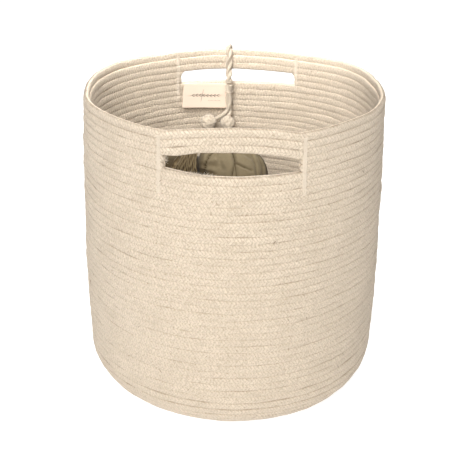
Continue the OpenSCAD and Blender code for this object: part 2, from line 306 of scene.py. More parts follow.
def floor_material():
    """White studio paper, lit from behind to keep shadows faint."""
    n = Nodes("floor_paper", roughness=0.95)
    n.shader.inputs["Emission Color"].default_value = (1, 1, 1, 1)
    n.shader.inputs["Emission Strength"].default_value = 0.66
    tone = n.noise(n.place(), 3.0, 1.0)
    return n.finish(n.mix(tone, (0.62, 0.62, 0.62), (0.60, 0.60, 0.60)))


# ---- Mesh helpers ----


def around(count):
    """Angles spread evenly round a full turn."""
    return np.arange(count) * 2 * math.pi / count


def outward(a):
    """Unit vectors away from the basket's axis at angle a."""
    return np.stack([np.cos(a), np.sin(a), 0 * a], -1)


def turned(points, angle):
    """The points turned about the Z axis."""
    x, y, z = np.moveaxis(points, -1, 0)
    c, s = np.cos(angle), np.sin(angle)
    return np.stack([x * c - y * s, x * s + y * c, z], -1)


def distances(path):
    """How far along the path each of its points lies."""
    return np.concatenate([[0], np.cumsum(np.linalg.norm(np.diff(path, axis=0), axis=1))])


def superellipse(sides, power):
    """Points of a rounded square, from its outward side on, within -1 to 1."""
    a = around(sides)
    c, s = np.cos(a), np.sin(a)
    power = np.where(c < -1e-6, 1.2 * power, power)  # a row is pressed flatter on the inside
    return np.stack([np.sign(c) * np.abs(c) ** (2 / power), np.sign(s) * np.abs(s) ** (2 / power)], 1)


def ring_quads(n, k, closed=False):
    """Quads between n rings of k points; closed joins the last ring to the first."""
    i, j = np.meshgrid(np.arange(n if closed else n - 1), np.arange(k), indexing="ij")
    i2, j2 = (i + 1) % n, (j + 1) % k
    return np.stack([i * k + j, i2 * k + j, i2 * k + j2, i * k + j2], -1).reshape(-1, 4)


TURNED = [0, 3, 2, 1]  # the corners of a quad, taken the other way round


class Tubes:
    """Collects swept tubes in one mesh with a UV map of metres along and turns round."""

    def __init__(self):
        self.points, self.quads, self.uvs, self.count = [], [], [], 0

    def add_rings(self, rings, along, skew=0.0, closed=False):
        """rings is an (n, sides, 3) array; along and skew place each ring on the UV map."""
        n, sides = rings.shape[:2]
        u = np.repeat(along[:, None], sides + 1, 1)
        v = np.arange(sides + 1) / sides + np.reshape(skew, (-1, 1)) + 0 * u
        uv = np.stack([u, v], -1)
        corners = np.stack([uv[:-1, :-1], uv[1:, :-1], uv[1:, 1:], uv[:-1, 1:]], -2)
        self.points.append(rings.reshape(-1, 3))
        self.quads.append(ring_quads(n, sides, closed) + self.count)
        self.uvs.append(corners.reshape(-1, 4, 2))
        self.count += n * sides

    def add(self, centre, out, up, half_w, half_h, closed=False, sides=16, power=2.0, start=0.0):
        """centre, out and up are (n, 3) arrays; the half sizes are numbers or (n,) arrays."""
        ring = superellipse(sides, power)
        w, h = (np.broadcast_to(half, len(centre))[:, None, None] for half in (half_w, half_h))
        rings = centre[:, None] + w * ring[:, :1] * out[:, None] + h * ring[:, 1:] * up[:, None]
        along = distances(np.concatenate([centre, centre[:1]]) if closed else centre)
        self.add_rings(rings, start + along, closed=closed)

    def strand(self, path, side, size, sides):
        """A round tube along path."""
        _, out, up = frames_along(path, side)
        self.add(path, out, up, size, size, sides=sides)

    def ring(self, path, middle, half_w, half_h, sides):
        """A closed tube round middle."""
        out = unit(path - middle)
        up = np.cross(out, unit(np.roll(path, -1, 0) - np.roll(path, 1, 0)))
        self.add(path, out, up, half_w, half_h, closed=True, sides=sides)

    def cap(self, centre, out, up, along, half_w, half_h, sides=16, power=2.0, bulge=0.5, inward=False):
        """Closes a tube's end with a low dome: along points out of the end."""
        t = np.linspace(0, math.pi / 2, 5)
        size, rise = np.maximum(np.cos(t), 1e-3), np.sin(t) * bulge * half_w
        c = centre + rise[:, None] * along
        if inward:
            c, size = c[::-1], size[::-1]
        out, up = np.tile(out, (5, 1)), np.tile(up, (5, 1))
        self.add(c, out, up, half_w * size, half_h * size, sides=sides, power=power)

    def caps(self, centre, out, up, along, *shape):
        """Closes both ends of a tube that runs the way along points."""
        self.cap(centre[0], out[0], up[0], -along[0], *shape, inward=True)
        self.cap(centre[-1], out[-1], up[-1], along[-1], *shape)

    def build(self, name, material):
        return mesh_object(name, np.concatenate(self.points), np.concatenate(self.quads),
                           material, np.concatenate(self.uvs))


def mesh_object(name, points, quads, material, uvs=None):
    mesh = bpy.data.meshes.new(name)
    mesh.vertices.add(len(points))
    mesh.vertices.foreach_set("co", np.asarray(points, np.float32).ravel())
    mesh.loops.add(quads.size)
    mesh.loops.foreach_set("vertex_index", quads.astype(np.int32).ravel())
    mesh.polygons.add(len(quads))
    mesh.polygons.foreach_set("loop_start", np.arange(0, quads.size, 4, dtype=np.int32))
    mesh.polygons.foreach_set("use_smooth", np.ones(len(quads), bool))
    if uvs is not None:
        layer = mesh.uv_layers.new(name="rope")
        layer.data.foreach_set("uv", uvs.astype(np.float32).ravel())
    mesh.update(calc_edges=True)
    mesh.validate()
    mesh.materials.append(material)
    return link_object(name, mesh)


def unit(v):
    return v / np.maximum(np.linalg.norm(v, axis=-1, keepdims=True), 1e-12)


def smooth_route(points, count):
    """A smooth curve through the points, with count places spread evenly along it."""
    p = np.asarray(points, float)
    n = len(p) - 1
    s = np.linspace(0, n, 40 * n + 1)
    i = np.minimum(s.astype(int), n - 1)
    u = (s - i)[:, None]
    a, b, c, d = p[np.maximum(i - 1, 0)], p[i], p[i + 1], p[np.minimum(i + 2, n)]
    q = 0.5 * (2 * b + (c - a) * u + (2 * a - 5 * b + 4 * c - d) * u**2 + (3 * b - a - 3 * c + d) * u**3)
    dist = distances(q)
    at = np.linspace(0, dist[-1], count)
    return np.stack([np.interp(at, dist, q[:, k]) for k in range(3)], 1)


def frames_along(path, side):
    """Two unit vectors square to the path at each of its points, the first near to side."""
    along = unit(np.gradient(path, axis=0))
    side = np.asarray(side, float)
    out = unit(side - (along @ side)[:, None] * along)
    return along, out, np.cross(along, out)


# ---- The coiled rope ----


def wall_r(z):
    u = (z - FOOT_Z) / (RIM_Z - FOOT_Z)
    return FOOT_R * (1 - u) * (1 - 2 * u) + 4 * BELLY_R * u * (1 - u) + RIM_R * u * (2 * u - 1)


def row_z(i):
    return FOOT_Z + (i + 0.5) * PITCH


def hump(a, middle, width):
    """A smooth bump round the angle middle, both in degrees."""
    off = (np.degrees(a) - middle + 180) % 360 - 180
    return np.exp(-((off / width) ** 2))


def sway(a, z):
    """How far the soft wall stands out of round at angle a and height z."""
    t = z / RIM_Z
    top = np.clip((t - 0.45) / 0.55, 0, 1) ** 1.5
    corners = (0.0115 * hump(a, 34, 21) + 0.0060 * hump(a, 152, 24)
               - 0.0035 * hump(a, -132, 22) - 0.0035 * hump(a, -52, 18) - 0.0020 * hump(a, 184, 26))
    foot = 0.0050 * hump(a, -58, 30) * np.exp(-(((z - 0.020) / 0.055) ** 2))
    low = 0.0011 * np.sin(2 * a + 0.9) * t + 0.0010 * np.sin(3 * a + 2.0 + 1.5 * t) * t
    fine = 0.0005 * np.sin(7 * a + 9 * t) + 0.0004 * np.sin(11 * a - 13 * t + 1)
    return corners * top + low * (1 - 0.5 * top) + fine * np.minimum(1, 3 * t) + foot


def lift(a, z):
    """How far the wall's rows ride up or down from level at angle a and height z."""
    sag = 0.0021 * hump(a, -90.7, 20) + 0.0030 * hump(a, 88, 23)  # under the slots
    sag = sag * np.where(z < SLOT_LOW, np.exp(-(((SLOT_LOW - z) / 0.035) ** 2)), 0)
    return (0.0012 * np.sin(a) + 0.0004 * np.sin(5 * a + z * 30)) * np.clip(z / RIM_Z, 0, 1) ** 2 - sag


def row_jitter(a, seed):
    """Small waviness of one row: (out, up) in metres at angle a."""
    rng = np.random.default_rng(1000 + seed)
    out, up = np.zeros_like(a), np.zeros_like(a)
    for k, size in ((5, 1.4), (9, 1.3), (14, 1.0), (23, 1.0), (37, 0.8), (61, 0.6)):
        p, q = rng.uniform(0, 2 * math.pi, 2)
        out += 0.00017 * size * np.sin(k * a + p)
        up += 0.00012 * size * np.sin(k * a + q)
    return out + rng.uniform(-0.0003, 0.0003), up


ROW_HALF_W, ROW_HALF_H = ROPE_R - 0.0001, PITCH / 2 + 0.0010
ROW_POWER = 3.2
ROW_SIDES = 18
SEGMENTS = 360


def lay_row(tubes, i, c, out, up, along, start, closed=False, bulge=0.35):
    """Adds wall row i along c; the top row is narrower and rounder."""
    half_w, power = (ROW_HALF_W * 0.78, 2.1) if i == WALL_ROWS - 1 else (ROW_HALF_W, ROW_POWER)
    c = c + out * (ROW_HALF_W - half_w)
    tubes.add(c, out, up, half_w, ROW_HALF_H, closed, ROW_SIDES, power, start)
    if not closed:
        tubes.caps(c, out, up, along, half_w, ROW_HALF_H, ROW_SIDES, power, bulge)


def wall_row(tubes, i, a0=0.0, a1=2 * math.pi, bulge=0.35):
    """One wall row, or its stretch from angle a0 to a1."""
    closed = a1 - a0 > 2 * math.pi - 1e-6
    count = max(8, round(SEGMENTS * (a1 - a0) / (2 * math.pi)))
    a = np.linspace(a0, a1, count, endpoint=not closed)
    z = row_z(i)
    jit_out, jit_up = row_jitter(a, i)
    r = wall_r(z) - ROPE_R + sway(a, z) + jit_out
    out, up = outward(a), np.tile(UP, (count, 1))
    c = out * r[:, None] + up * (z + jit_up + lift(a, z))[:, None]
    lay_row(tubes, i, c, out, up, np.cross(UP, out), 0.37 * i, closed, bulge)


def round_back_corners(piece, radius=0.0050):
    """Draws the courses' ends into the back slot's rounded corners."""
    p = get_points(piece)
    x, y, z = p.T
    a = np.arctan2(y, x)
    left = a > BACK
    past = np.where(left, BACK_A1 - a, a - BACK_A0) * RIM_R  # how far towards the slot from its end
    near = np.clip(1 + past / 0.009, 0, 1) * (y > 0)
    middle, half = (SLOT_LOW + SLOT_HIGH) / 2, (SLOT_HIGH - SLOT_LOW) / 2
    u = np.clip((np.abs(z - middle + 0.0015) - half + radius) / radius, 0, 1)
    turn = near * (radius * (1 - np.sqrt(1 - u * u)) - 0.0012) / RIM_R * np.where(left, -1, 1)
    set_points(piece, turned(p, turn))


def wall_piece(name, node, material, rows, *stretch):
    """Some of the wall's rows, or a stretch of them, as one piece."""
    tubes = Tubes()
    for i in rows:
        wall_row(tubes, i, *stretch)
    return declare(tubes.build(name, material), "basket", "rope", node)


def make_wall(material):
    ends = (0, THIRD_ROWS, 2 * THIRD_ROWS, LOW_ROWS)
    for part, first, last in zip(("low", "middle", "high"), ends, ends[1:]):
        wall_piece(f"rope_wall_{part}", f"wall_coil_{part}", material, range(first, last))
    slot_rows = range(LOW_ROWS, LOW_ROWS + SLOT_ROWS)
    band_rows = range(LOW_ROWS + SLOT_ROWS, WALL_ROWS)
    # the courses beside the slots end in domes, which start this far back from the slots' ends
    front_left, front_right, back = (math.radians(v) for v in (1.65, 1.95, 0.95))
    sides = (("left", BACK_A1, FRONT_A0 + 2 * math.pi, back, front_left),
             ("right", FRONT_A1, BACK_A0, front_right, back))
    for side, a0, a1, short0, short1 in sides:
        course = wall_piece(f"rope_slot_course_{side}", f"slot_course_{side}", material, slot_rows,
                            a0 + short0, a1 - short1, 0.85)
        round_back_corners(course)
        wall_piece(f"rope_rim_course_{side}", f"rim_course_{side}", material, band_rows, a0, a1)
    wall_piece("rope_band_back", "handle_band_back", material, band_rows, BACK_A0, BACK_A1)
    make_front_band(material, band_rows)


def bowed_point(t, z):
    """The front band's line at t, from -1 at its left end to 1 at its right end."""
    half = (RIM_R - ROPE_R) * math.sin(FRONT_HALF)
    chord = (RIM_R - ROPE_R) * math.cos(FRONT_HALF)
    sag, tilt = math.hypot(FRONT_BOW, FRONT_BULGE), math.atan2(FRONT_BOW, FRONT_BULGE)
    radius = (half * half + sag * sag) / (2 * sag)
    a = t * math.asin(half / radius)
    d = radius * np.cos(a) - (radius - sag)
    x, y = radius * np.sin(a), -chord - d * math.cos(tilt)
    return turned(np.stack([x, y, z + d * math.sin(tilt)], -1), -FRONT_TURN)


def make_front_band(material, rows):
    tubes = Tubes()
    for i in rows:
        t = np.linspace(-1.06, 1.06, 68)  # the ends run on into the courses beside the band
        jit_out, jit_up = row_jitter(t * 0.4, i + 50)
        c = bowed_point(t, row_z(i))
        if i == rows[0]:  # the lowest row bends down to meet the courses below
            droop = 0.0018 * np.exp(-(((t + 0.82) / 0.16) ** 2))
            c[:, 2] -= np.where(t < 0, droop, 0.0022 * np.minimum(t**6, 1))
        along = unit(np.gradient(c, axis=0))
        out = unit(np.cross(along, UP))
        up = np.cross(out, along)
        c = c + out * jit_out[:, None] + up * jit_up[:, None]
        lay_row(tubes, i, c, out, up, along, 0.2 * i)
    declare(tubes.build("rope_band_front", material), "basket", "rope", "handle_band_front")


def make_base(material):
    """The flat spiral of the base and the turns round the corner."""
    tubes = Tubes()
    step = BASE_R / BASE_ROWS
    for i in range(BASE_ROWS):
        r0 = (i + 0.5) * step
        a = around(max(16, round(SEGMENTS * r0 / RIM_R)))
        out, up = outward(a), np.tile(UP, (len(a), 1))
        c = out * (r0 + row_jitter(a, i + 200)[0] * min(1, r0 / 0.03))[:, None] + up * BASE_Z
        tubes.add(c, up, out, BASE_Z, step / 2 + 0.0001, True, ROW_SIDES, ROW_POWER, start=0.1 * i)
    declare(tubes.build("rope_base", material), "basket", "rope", "base_coil")

    a = around(SEGMENTS)
    out = outward(a)
    half_h = CORNER_R * math.pi / 4 / CORNER_ROWS + 0.0006
    half = CORNER_ROWS // 2
    for part, turns in (("low", range(half)), ("high", range(half, CORNER_ROWS))):
        tubes = Tubes()
        for i in turns:
            e = (i + 0.5) / CORNER_ROWS * math.pi / 2
            face = out * math.sin(e) - UP * math.cos(e)
            rise = out * math.cos(e) + UP * math.sin(e)
            r = BASE_R + (CORNER_R + sway(a, FOOT_Z)) * math.sin(e)
            jitter = row_jitter(a, i + 100)[0] * math.sin(e)
            c = out * r[:, None] + UP * (FOOT_Z - CORNER_R * math.cos(e)) + face * jitter[:, None]
            tubes.add(c, face, rise, ROW_HALF_W, half_h, True, ROW_SIDES, ROW_POWER, start=0.3 * i)
        declare(tubes.build(f"rope_corner_{part}", material), "basket", "rope", f"corner_coil_{part}")


# ---- Stitched strips ----


def make_strips(material):
    """Two columns of satin stitches on both faces of the wall at each slot's ends."""
    high = RIM_Z - ROPE_R - 0.0005
    t = np.linspace(-1, 1, 9)
    for name, a0, rows in (
            ("front_left", FRONT_A0 - STRIP_OUT, STRIP_ROWS),
            ("front_right", FRONT_A1 + STRIP_OUT, STRIP_ROWS),
            ("back_left", BACK_A1 + STRIP_OUT, STRIP_ROWS),
            ("back_right", BACK_A0 - SHORT_STRIP_OUT, SHORT_STRIP_ROWS)):
        tubes = Tubes()
        rng = np.random.default_rng(7)
        radial = outward(a0)
        across = np.cross(UP, radial)
        for z in np.arange(row_z(WALL_ROWS - rows) - PITCH / 2, high, 0.00105):
            dip = abs((z - FOOT_Z) / PITCH % 1 - 0.5) * 2  # 0 on a row's middle, 1 on a seam
            crown = 0.0003 * (1 - t**4) - 0.0008 * t**6 - 0.0007 * dip**3
            r = wall_r(z) - ROPE_R + sway(a0, z)
            for face in (1, -1):
                for column in (-0.00125, 0.00125):
                    up = z + lift(a0, z) + rng.uniform(-0.0002, 0.0002) + 0.0004 * t
                    x = column + t * 0.00110 + 0.0002 * math.sin(z * 900 + column * 999)
                    depth = r + face * (ROPE_R + crown)
                    c = radial * depth[:, None] + across * x[:, None] + UP * up[:, None]
                    tubes.strand(c, UP, 0.00052, 6)
        declare(tubes.build(f"stitch_strip_{name}", material), "basket", "thread", f"stitch_{name}")


# ---- The rope's cut end ----


def add_fibre(tubes, rng, root, direction, length):
    """One loose fibre that starts at root and curls away along direction."""
    t = np.linspace(0, 1, 6)[:, None]
    bend = rng.normal(0, 0.35, 3)
    path = root + length * (t * unit(direction + 0.35 * rng.normal(0, 1, 3)) + 0.5 * t**2 * bend)
    tubes.strand(path, (0.3, 0.5, 0.8), 0.00016 * (1 - 0.75 * t[:, 0]), 5)


def make_rope_end(material):
    """The rope's last stretch, which thins out along the front slot's bottom."""
    tubes = Tubes()
    t = np.linspace(0, 1, 44)
    a = FRONT_A0 - 0.035 + t * (ROPE_END_ANGLE + 0.035)  # it starts inside the course beside it
    height = ROPE_END_H * (1 - t) ** 0.9 + 0.0008
    half_h = np.maximum(height * 0.75, 0.0014)
    z = SLOT_LOW + height - half_h + lift(a, SLOT_LOW - 1e-4)
    r = wall_r(row_z(LOW_ROWS)) - ROPE_R + sway(a, z)
    out, up = outward(a), np.tile(UP, (len(a), 1))
    c = out * r[:, None] + up * z[:, None]
    half_w = ROPE_R * (1 - 0.55 * t**1.5)
    tubes.add(c, out, up, half_w, half_h, False, ROW_SIDES, 2.2)
    along = np.cross(UP, out[-1])
    tubes.cap(c[-1], out[-1], UP, along, half_w[-1], half_h[-1], ROW_SIDES, 2.2, bulge=1.2)
    declare(tubes.build("rope_cut_end", material), "basket", "rope", "rope_end_front")


def make_frays(material):
    """Loose fibres on the rope's cut end and at the slot's left end."""
    rng = np.random.default_rng(21)
    tubes = Tubes()
    radius = wall_r(SLOT_LOW) - ROPE_R
    for _ in range(130):
        t = rng.beta(3.2, 2.0)
        a = FRONT_A0 + t * ROPE_END_ANGLE * 1.02
        height = ROPE_END_H * (1 - t) ** 0.9 - 0.0012
        root = outward(a) * (radius + rng.uniform(-0.0035, 0.0045)) + UP * (SLOT_LOW + height)
        along = np.cross(UP, outward(a)) + UP * (0.25 + 0.5 * rng.random())
        add_fibre(tubes, rng, root, along, rng.uniform(0.002, 0.0055))
    end = outward(FRONT_A0 - 0.002)
    for _ in range(40):
        out = radius + rng.uniform(-0.004, 0.005)
        root = end * out + UP * rng.uniform(SLOT_LOW + 0.009, SLOT_HIGH - 0.002)
        add_fibre(tubes, rng, root, np.cross(UP, end) + 0.1 * UP, rng.uniform(0.002, 0.0045))
    declare(tubes.build("rope_fray", material), "basket", "rope")


def make_seed_fibres(material):
    """A few dark plant fibres caught in the rope's outer face."""
    rng = np.random.default_rng(5)
    tubes = Tubes()
    places = [(-75.5, 0.2855), (-62.6, 0.172)]
    places += [(rng.uniform(0, 360), rng.uniform(0.07, 0.40)) for _ in range(22)]
    for degrees, z in places:
        a = math.radians(degrees)
        r = wall_r(z) + sway(a, z) + 0.0003
        t = np.linspace(-1, 1, 7)
        size = rng.uniform(0.0022, 0.0042)
        along = t * size * rng.uniform(0.4, 1) * rng.choice((-1, 1))
        rise = -t * size * 0.8 + 0.0012 * (1 - t * t)
        b = a + along / r
        path = np.stack([np.cos(b) * r, np.sin(b) * r, z + rise], 1)
        tubes.strand(path, (0.3, 0.5, 0.8), 0.00028 * (1.1 - t**2), 5)
    declare(tubes.build("seed_fibres", material), "basket", "rope")


# ---- Hang cord ----

STRAND_D = 0.0052
CORD_X = 0.007
CORD_PLACE = np.array([-CORD_X, RIM_R - 0.0205, SLOT_LOW])  # the cord's line at the slot's bottom
# the routes below are in millimetres from that place
LOOP_ROUTE = [(0, 0, 2.7), (0, 1, 10), (0, 5, 18), (0, 7, 26), (0, 7.3, 35), (0, 7.4, 43.2),
              (0, 9.7, 49), (0, 15.4, 51.4), (0, 21.1, 49), (0, 23.6, 43.2), (0, 24.5, 34),
              (0, 25, 25), (0, 22.5, 18), (0, 16.7, 15.8), (0, 10.5, 13), (0, 6.5, 8), (0, 5.4, 2.7)]
LEFT_TAIL_ROUTE = [(-2.7, 0, -2.3), (-2, -1.9, -9), (0, -2.7, -15), (2, -1.9, -22), (2, -1.9, -29),
                   (0, -2.7, -36), (-2, -1.9, -42), (-8, -4, -48), (-18, -4, -54), (-26, -4, -58.5)]
RIGHT_TAIL_ROUTE = [(2.7, 0, -2.3), (2, 1.9, -9), (0, 2.7, -15), (-2, 1.9, -22), (-2, 1.9, -29),
                    (0, 2.7, -36), (2, 1.9, -42), (1.5, -1, -48), (-1.5, -4, -53), (-1.5, -4, -57)]
LEFT_KNOT, RIGHT_KNOT = (-31, -4, -60.3), (-1.5, -4, -61.3)
LEFT_KNOT_D, RIGHT_KNOT_D = 0.025, 0.023


def at_cord(points):
    return CORD_PLACE + np.asarray(points, float) * 0.001


def twisted_tube(name, path, diameter, material, side):
    """A laid cord: a tube whose three plies show as grooves that wind round it."""
    lay, plies, sides = 0.011, 3, 24
    along, out, up = frames_along(path, side)
    dist = distances(path)
    turn = around(sides)[None]
    groove = np.abs(np.sin((turn * plies + dist[:, None] * plies * 2 * math.pi / lay) / 2))
    radius = diameter / 2 * (0.80 + 0.24 * groove**0.6)
    reach = np.cos(turn)[..., None] * out[:, None] + np.sin(turn)[..., None] * up[:, None]
    tubes = Tubes()
    tubes.add_rings(path[:, None] + radius[..., None] * reach, dist, dist / lay)
    tubes.caps(path, out, up, along, diameter * 0.48, diameter * 0.48, sides)
    return tubes.build(name, material)


def loop_strand(side):
    """One of the loop's two strands, which turn about each other."""
    lay, spread, close = 0.030, STRAND_D / 2 + 0.0001, 0.0024
    centre = smooth_route(at_cord(LOOP_ROUTE), 190)
    middle = at_cord((0, 15.4, 33.8))
    away = (centre - middle) * (0, 1, 1)
    dist = distances(centre)
    inside = np.clip(dist / 0.016, 0, 1) * np.clip((dist[-1] - dist) / 0.016, 0, 1)
    centre = centre + unit(away) * (0.0014 * inside)[:, None]
    _, across, normal = frames_along(centre, (1, 0, 0))
    turn = 2 * math.pi * dist / lay
    reach = spread + (close - spread) * np.clip(dist / 0.010, 0, 1)
    offset = np.cos(turn)[:, None] * across + np.sin(turn)[:, None] * normal
    return centre + side * reach[:, None] * offset


def make_knot(name, centre, diameter, material, side):
    """A tied knot as a ball: three double bands of cord round a core."""
    tubes = Tubes()
    strand = diameter * 0.135
    core = diameter / 2 - strand
    t = around(90)
    lean_y = 0.5 if side == "left" else -0.7
    axes = np.array(Matrix.Rotation(lean_y, 3, "Y") @ Matrix.Rotation(0.4, 3, "X"))
    for k in range(3):
        e1, e2, e3 = axes[k], axes[(k + 1) % 3], axes[(k + 2) % 3]
        for shift in (-1, 1):
            lean = shift * strand * 1.05
            swing = 0.25 * strand * np.sin(2 * t + k)
            r = np.sqrt(np.maximum((core * (1 + 0.05 * np.cos(2 * t + k * 2.1))) ** 2 - lean**2, 0))
            p = centre + (np.cos(t) * r)[:, None] * e1 + (np.sin(t) * r)[:, None] * e2
            p = p + (lean + swing)[:, None] * e3
            tubes.ring(p, centre, strand * 0.9, strand * 1.1, 12)
    lat = np.linspace(-1.5, 1.5, 14)
    tubes.strand(centre + UP * (np.sin(lat) * core)[:, None], (1, 0, 0), np.cos(lat) * core, 20)
    return tubes.build(name, material)


def make_hitch(material):
    """Two turns of cord where the loop closes, just under the slot."""
    tubes = Tubes()
    for turn, (rise, lean) in enumerate(((2.6, 0.4), (5.7, -0.4))):
        a = around(48)
        path = at_cord(np.stack([3.7 * np.cos(a), 2.7 * np.sin(a), rise + lean * np.cos(a + turn)], 1))
        tubes.ring(path, path.mean(0), 0.0016, 0.0019, 14)
    return tubes.build("cord_hitch", material)


def make_cord(material):
    hitch = declare(make_hitch(material), "basket", "cord")
    for side, sign in (("left", -1), ("right", 1)):
        path = loop_strand(sign)
        piece = twisted_tube(f"cord_loop_strand_{side}", path, STRAND_D, material, (1, 0, 0))
        declare(piece, "basket", "cord", f"cord_loop_{side}")
    for side, route, look, place, size in (
            ("left", LEFT_TAIL_ROUTE, (0, 1, 0), LEFT_KNOT, LEFT_KNOT_D),
            ("right", RIGHT_TAIL_ROUTE, (1, 0, 0), RIGHT_KNOT, RIGHT_KNOT_D)):
        path = smooth_route(at_cord(route), 80)
        knot = make_knot(f"cord_knot_ball_{side}", at_cord(place), size, material, side)
        declare(knot, "hang_cord", "cord", f"cord_knot_{side}")
        piece = twisted_tube(f"cord_tail_strand_{side}", path, STRAND_D * 1.12, material, look)
        declare(piece, "hang_cord", "cord", f"cord_tail_{side}")


# ---- Tag ----

TAG_L, TAG_H, CARD_T, TAG_GAP = 0.070, 0.0385, 0.0008, 0.0010
TAG_DROP, TAG_END, TAG_BACK = 0.0408, 0.002, 0.008
TAG_TIP, TAG_TURN = math.radians(4), math.radians(13)
TIE_R, TIE_UP, HOLE_OUT = 0.0062, 0.029, 0.0025


def at_tag(points):
    """From the tag's own frame, about the cord's line, to the basket's."""
    return turned(points, TAG_TURN) + CORD_PLACE - UP * TAG_DROP


def on_card(x, y, z):
    """A place on the tipped card: x from its right end, y off its middle, z up it."""
    c, s = math.cos(TAG_TIP), math.sin(TAG_TIP)
    bow = 0.0011 * np.sin(np.clip(-x / TAG_L, 0, 1) * math.pi) - 0.0012 * (x / TAG_L) ** 4
    return at_tag(np.stack([x * c + z * s - TAG_END, TAG_BACK + y + bow, z * c - x * s], -1))


def make_tag(card, ink, thread):
    """A folded card: a front leaf, a rounded fold along the top and a back leaf."""
    half = (TAG_GAP + CARD_T) / 2
    up = np.linspace(0, TAG_H - half, 22)
    arc = np.linspace(math.pi, 0, 9)[1:-1]
    spread = 0.0010 * (1 - up / TAG_H) ** 1.6  # the leaves open a little towards the bottom
    line = np.concatenate([np.stack([-half - spread * 0.7, up], 1),
                           np.stack([half * np.cos(arc), TAG_H - half + half * np.sin(arc)], 1),
                           np.stack([half + spread, up], 1)[::-1]])
    normal = unit(np.gradient(line, axis=0))[:, ::-1] * (-1, 1)
    loop = np.concatenate([line + normal * CARD_T / 2, (line - normal * CARD_T / 2)[::-1]])
    x = -np.linspace(0, TAG_L, 60)
    points = on_card(*np.broadcast_arrays(x[:, None], loop[:, 0], loop[:, 1]))
    m, k = len(x), len(loop)
    quads = [ring_quads(m, k)[:, TURNED]]
    h = np.arange(k // 2 - 1)
    for base, flip in ((0, False), ((m - 1) * k, True)):
        cap = np.stack([h, k - 1 - h, k - 2 - h, h + 1], -1) + base
        quads.append(cap[:, ::-1] if flip else cap)
    body = mesh_object("tag_folded_card", points.reshape(-1, 3), np.concatenate(quads), card)
    bevel = body.modifiers.new("edge", "BEVEL")
    bevel.width, bevel.segments, bevel.limit_method = 0.00015, 2, "ANGLE"
    declare(body, "tag", "card", "tag_card")
    declare(make_print(ink), "tag", "card")
    declare(make_tie(thread), "tag", "thread", "tag_tie")


def make_print(ink):
    """A plain printed sprig on the tag's front: a stem with pairs of small leaves."""
    tubes = Tubes()
    front = -(TAG_GAP / 2 + CARD_T) - 0.00075

    def stroke(points, width):
        p = smooth_route([(x, 0, z) for x, z in points], 14)
        path = on_card(p[:, 0], front + 0 * p[:, 0], p[:, 2])
        _, o, u = frames_along(path, (0.2, -1, 0))
        size = width * (0.35 + 0.65 * np.sin(np.linspace(0.15, math.pi - 0.15, len(p))))
        tubes.add(path, o, u, 0.00012, size, sides=6)

    stroke([(-0.060, 0.0190), (-0.046, 0.0205), (-0.030, 0.0195), (-0.010, 0.0205)], 0.00030)
    stroke([(-0.0415, 0.0100), (-0.0400, 0.0190), (-0.0385, 0.0295)], 0.00034)
    for k in range(8):
        x, z = -0.0560 + 0.0056 * k, 0.0197 + 0.0004 * math.sin(k)
        for sign in (1, -1):
            stroke([(x, z), (x + 0.0022, z + sign * 0.0016), (x + 0.0044, z + sign * 0.0020)], 0.00038)
    for k in range(9):
        stroke([(-0.0300 + 0.0022 * k, 0.0118), (-0.0286 + 0.0022 * k, 0.0118)], 0.00028)
    return tubes.build("tag_print", ink)


def make_tie(thread):
    """The thread round the cord and through the tag, with its knot behind the card."""
    tubes = Tubes()
    a = around(72)
    for rise in (-0.0004, 0.0004):
        height = TIE_UP + rise + 0.0003 * np.sin(2 * a)
        path = at_tag(np.stack([np.cos(a) * TIE_R, np.sin(a) * TIE_R, height], 1))
        tubes.ring(path, path.mean(0), 0.00035, 0.00035, 8)
    stem_y = math.sqrt(TIE_R**2 - HOLE_OUT**2)
    knot_y = TAG_BACK + TAG_GAP / 2 + CARD_T + 0.0013
    lat = np.linspace(-1.45, 1.45, 9)
    for y, size, sides in ((np.linspace(stem_y, knot_y, 8), 0.0004, 8),
                           (knot_y + 0.0010 * np.sin(lat), 0.0010 * np.cos(lat) + 0.00005, 10)):
        path = at_tag(np.stack(np.broadcast_arrays(-HOLE_OUT, y, TIE_UP), 1))
        tubes.strand(path, UP, size, sides)
    return tubes.build("tag_thread", thread)


# ---- Laundry bag ----

BAG_R = (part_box("bag_body")[1].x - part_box("bag_body")[0].x) / 2
BAG_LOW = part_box("bag_body")[0].z
TIE_X = -0.047
NECK = np.array([TIE_X, -0.006, 0.311])
# the filled bag's height and radius from the floor up
BAG_PROFILE = [(0.0105, 0.050), (0.0105, 0.090), (0.013, 0.116), (0.030, 0.134), (0.060, 0.143),
               (0.100, BAG_R), (0.140, BAG_R), (0.180, 0.134), (0.212, 0.112), (0.238, 0.088),
               (0.260, 0.066), (0.282, 0.047), (0.297, 0.028)]
PUFF, PUFF_SIZE = np.array([0.0062, -0.008, 0.292]), np.array([0.042, 0.046, 0.047])
SLOPE = 0.39  # the fall of a line of sight through the front slot onto the bag
# creases on the side of the puff that faces the front slot: from and to as x and height above
# the floor at 40 mm in front of the middle, then width and depth, all in millimetres
CREASES = [((-2, 346), (2.4, 328), 1.8, 5.5), ((2.4, 328), (-3, 300), 1.7, 5.0),
           ((2.4, 328), (5, 300), 1.7, 4.8), ((3.5, 326.5), (16, 320), 1.5, 4.2),
           ((16, 320), (25, 316), 1.3, 2.6), ((-26, 344), (-33, 337), 2.0, 6.0),
           ((-33, 337), (-38, 326), 2.0, 7.0), ((-38, 326), (-40.5, 300), 2.0, 8.0),
           ((24, 346), (31, 324), 1.6, 2.4), ((31, 324), (34, 300), 1.6, 2.2),
           ((34, 340), (41, 322), 1.6, 3.0), ((41, 322), (42, 300), 1.6, 2.6),
           ((12, 342), (24, 334), 2.2, 1.8), ((-20, 330), (-14, 318), 3.5, 1.2)]
